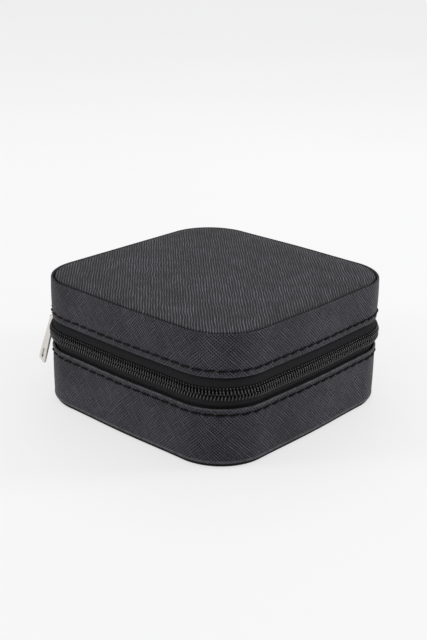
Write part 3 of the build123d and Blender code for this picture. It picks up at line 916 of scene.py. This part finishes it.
def make_straps():
    """Leather snap straps hanging from a strip, with turned metal caps and studs."""
    low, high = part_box("hook_strip")
    block(
        "strap_strip", low, high, 0.35 * MM, STRAP_LEATHER, "lid", "case_leather", ["hook_strip"],
        cell=0.8 * MM,
    )
    for number in range(1, 4):
        body = f"hook_strap_{number}"
        low, high = (Vector(c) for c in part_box(body))
        make_strap(f"strap_{number}", low, high, body)
        make_cap(f"strap_cap_{number}", f"snap_cap_{number}", low.z, high.z, body)
        make_stud(f"strap_stud_{number}", f"snap_stud_{number}")


def make_strap(name, low, high, body):
    """A flat strap with a round free end and softened edges."""
    half = (high.x - low.x) / 2
    centre_x = (low.x + high.x) / 2
    outline = []
    straight_to = high.y - half
    side_steps, end_steps = 15, 24
    for step in range(side_steps):
        outline.append((half, low.y + (straight_to - low.y) * step / side_steps))
    for step in range(end_steps + 1):
        angle = pi * step / end_steps
        outline.append((half * cos(angle), straight_to + half * sin(angle)))
    for step in range(side_steps):
        outline.append((-half, straight_to + (low.y - straight_to) * (step + 1) / side_steps))
    middle = low.y + (high.y - low.y) * 0.5
    thickness = high.z - low.z
    rows = []
    for inset, z in (
        (0.5, low.z), (0.22, low.z), (0.06, low.z + thickness * 0.12), (0.0, low.z + thickness * 0.35),
        (0.0, low.z + thickness * 0.65), (0.06, low.z + thickness * 0.88), (0.22, high.z), (0.5, high.z),
    ):
        shrink = 1 - inset * MM / half
        rows.append([(centre_x + x * shrink, middle + (y - middle) * shrink, z) for x, y in outline])
    bm, layer = new_bmesh()
    verts = [[bm.verts.new(p) for p in row] for row in rows]
    skin(bm, verts)
    bm.faces.new(verts[0][::-1])
    bm.faces.new(verts[-1])
    bmesh.ops.recalc_face_normals(bm, faces=bm.faces)
    map_from_above(bm, layer)
    new_object(name, to_mesh(bm, name), STRAP_LEATHER, body, "case_leather", [body])


def make_cap(name, node, under, over, body):
    """The snap's cap: a shallow dome below the strap, a rivet through it and a socket ring above. under and
    over are the heights of the strap's two faces."""
    low, high = (Vector(c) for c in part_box(node))
    radius = (high.x - low.x) / 2
    depth = under - low.z
    profile = [(0.0, low.z)]
    dome_steps = 8
    for step in range(1, dome_steps + 1):
        angle = pi / 2 * step / dome_steps
        profile.append((radius * 0.97 * sin(angle), low.z + depth * 0.75 * (1 - cos(angle))))
    profile += [
        (radius, under - depth * 0.12), (radius * 0.98, under), (radius * 0.35, under), (radius * 0.35, over),
        (radius * 0.98, over), (radius, over + 0.12 * MM), (radius * 0.97, high.z - 0.15 * MM),
        (radius * 0.90, high.z), (radius * 0.80, high.z - 0.05 * MM), (radius * 0.76, over + 0.3 * MM),
        (0.0, over + 0.3 * MM),
    ]
    lathe(name, low, high, profile, body, node)


def make_stud(name, node):
    """The stud that the cap snaps over: a waisted button on a flange."""
    low, high = (Vector(c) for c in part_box(node))
    radius = (high.x - low.x) / 2
    tall = high.z - low.z
    profile = [
        (0.0, low.z), (radius * 0.62, low.z), (radius * 0.74, low.z + tall * 0.12),
        (radius * 0.76, low.z + tall * 0.35), (radius * 0.62, low.z + tall * 0.55),
        (radius * 0.64, low.z + tall * 0.68), (radius * 0.98, low.z + tall * 0.78), (radius, high.z),
        (0.0, high.z),
    ]
    lathe(name, low, high, profile, "lid", node)


# The pocket's cut is as wide as the finished pocket at its foot and a fifth wider at its mouth. Its corners
# at the foot are round.
POCKET_CORNER = 9 * MM


def make_pocket():
    """A velvet pocket gathered on elastic: full folds at its mouth that run out towards its sewn foot."""
    low, high = (Vector(c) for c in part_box("pocket_cloth"))
    half, length = (high.x - low.x) / 2, high.y - low.y
    depth = (PANEL - low.z) * 0.94
    folds, clear = 21, 0.35 * MM
    across, lengthwise = 336, 40
    rows = []
    for j in range(lengthwise + 1):
        v = j / lengthwise
        y = low.y + length * v
        shorten = max(0.0, (y - (high.y - POCKET_CORNER)) / POCKET_CORNER)
        row_half = half - POCKET_CORNER * (1 - sqrt(max(0.0, 1 - shorten ** 2)))
        row = []
        for i in range(across + 1):
            u = 2 * i / across - 1
            x = u * row_half
            side = 1 - abs(u) ** 6
            foot = 1 - v ** 5
            gather = 1.12 - 0.85 * v
            phase = folds * pi * u + 0.8 * noise.noise(Vector((u * 6, v * 2.2, 3)))
            fold = 0.5 + 0.5 * sin(phase)
            strength = 0.75 + 0.5 * noise.noise(Vector((u * 9, 1.7, 8)))
            hang = side * foot * (0.78 - 0.42 * gather * fold * strength)
            row.append((x, y, PANEL - clear - depth * max(0.0, hang) * 0.86))
        rows.append(row)
    mesh = grid_mesh("lid_pocket", rows, lambda j, i: (i / across * 2 * half, j / lengthwise * length))
    pocket = new_object("lid_pocket", mesh, VELVET, "lid", "velvet", ["pocket_cloth"])
    solid = pocket.modifiers.new("cloth", "SOLIDIFY")
    solid.thickness = 0.5 * MM
    solid.offset = 0.0

    band_low, band_high = (Vector(c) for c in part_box("pocket_elastic"))

    def ruffle(co):
        u = (co.x - band_low.x) / (band_high.x - band_low.x) * 2 - 1
        return Vector((0, 0, 0.16 * MM * sin(folds * pi * u) + 0.5 * MM * abs(u) ** 8))

    block(
        "pocket_band", band_low, band_high, 0.25 * MM, ELASTIC, "lid", "zip_tape", ["pocket_elastic"],
        cell=0.5 * MM, ruffle=ruffle,
    )


# ---------------------------------------------------------------- CAD pieces that stay

def dress(node, material):
    """Gives a carried-over CAD piece its finish."""
    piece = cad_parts[node]
    if not piece.material_slots:
        piece.data.materials.append(material)
    for slot in piece.material_slots:
        slot.material = material


def dress_cad_pieces():
    for node in ("base_floor_board", "base_wall_board", "lid_top_board", "lid_wall_board"):
        dress(node, BOARD)
    for node in ("slider_body", "slider_bail", "zip_pull"):
        dress(node, PULL_METAL)
    for node in ("zip_top_stop", "zip_bottom_stop"):
        dress(node, SNAP_METAL)


# ---------------------------------------------------------------- studio

def make_floor():
    """A pale floor, lit softly from below as a light table is, so that shadows stay faint."""
    n = Nodes("studio_floor")
    mottle = n.noise(n.surface(), 3.0, 2)
    colour = n.ramp(mottle, [(0.3, (0.28, 0.28, 0.281)), (0.7, (0.29, 0.29, 0.291))])
    n.shader.inputs["Emission Color"].default_value = (1.0, 1.0, 1.003, 1)
    roughness = n.range(mottle, 0.3, 0.7, 0.85, 0.95)
    material = n.finish(colour, roughness, Specular_IOR_Level=0.0, Emission_Strength=0.640)
    bm = bmesh.new()
    bmesh.ops.create_grid(bm, x_segments=2, y_segments=2, size=8.0)
    mesh = to_mesh(bm, "studio_floor")
    mesh.materials.append(material)
    plane = bpy.data.objects.new("studio_floor", mesh)
    plane.location.z = -0.05 * MM
    bpy.context.scene.collection.objects.link(plane)


def make_light(name, where, size, power):
    """An area light that faces the case."""
    aim = Vector((0, 0, 0.03))
    data = bpy.data.lights.new(name, "AREA")
    data.shape = "RECTANGLE"
    data.size, data.size_y = size
    data.energy = power
    lamp = bpy.data.objects.new(name, data)
    lamp.location = where
    lamp.rotation_euler = (aim - Vector(where)).to_track_quat("-Z", "Y").to_euler()
    bpy.context.scene.collection.objects.link(lamp)


def make_world():
    """Soft light from all round, stronger from above than from the sides."""
    world = bpy.data.worlds.new("studio")
    world.use_nodes = True
    tree = world.node_tree
    where = tree.nodes.new("ShaderNodeTexCoord")
    split = tree.nodes.new("ShaderNodeSeparateXYZ")
    level = tree.nodes.new("ShaderNodeMapRange")
    horizon, zenith = 0.30, 1.0
    for key, number in (("From Min", 0.0), ("From Max", 1.0), ("To Min", horizon), ("To Max", zenith)):
        level.inputs[key].default_value = number
    tree.links.new(where.outputs["Generated"], split.inputs[0])
    tree.links.new(split.outputs[2], level.inputs["Value"])
    tree.links.new(level.outputs[0], tree.nodes["Background"].inputs["Strength"])
    tree.nodes["Background"].inputs["Color"].default_value = (1.0, 1.0, 1.0, 1)
    bpy.context.scene.world = world
    bpy.context.scene.view_settings.view_transform = "Standard"


def make_studio():
    make_world()
    make_floor()
    make_light("behind", (0.36, 0.32, 0.55), (0.35, 0.35), 0.55)
    make_light("right", (0.65, -0.58, 0.35), (0.25, 0.4), 3.2)
    make_light("left", (-0.75, 0.50, 0.35), (0.25, 0.4), 2.6)


def make_camera():
    """The photo's viewpoint, shifted a little to put the case where the photo has it."""
    azimuth, elevation, roll = radians(-48.0), radians(21.13), radians(1.0)
    distance, shift_right, shift_up = 447.4 * MM, -0.62 * MM, 5.50 * MM
    back = Vector((sin(azimuth) * cos(elevation), -cos(azimuth) * cos(elevation), sin(elevation)))
    level_right = Vector((cos(azimuth), sin(azimuth), 0))
    level_up = back.cross(level_right)
    target = Vector((0, 0, TOP / 2)) + level_right * shift_right + level_up * shift_up
    eye = target + back * distance
    right = level_right * cos(roll) + level_up * sin(roll)
    up = level_up * cos(roll) - level_right * sin(roll)
    data = bpy.data.cameras.new("camera")
    data.lens = 64.8
    data.sensor_width = 36
    data.sensor_fit = "AUTO"
    data.clip_start = 0.01
    camera = bpy.data.objects.new("camera", data)
    camera.matrix_world = Matrix((
        (right.x, up.x, back.x, eye.x),
        (right.y, up.y, back.y, eye.y),
        (right.z, up.z, back.z, eye.z),
        (0, 0, 0, 1),
    ))
    bpy.context.scene.collection.objects.link(camera)
    bpy.context.scene.camera = camera


make_camera()
make_studio()
make_leather_outside()
stitch_row("base_stitches", BASE_STITCH, "base", "base_stitching")
stitch_row("lid_stitches", LID_STITCH, "lid", "lid_stitching")
make_tapes()
make_coil()
make_spine()
make_linings()
make_ring_rolls()
make_cards()
make_straps()
make_pocket()
dress_cad_pieces()
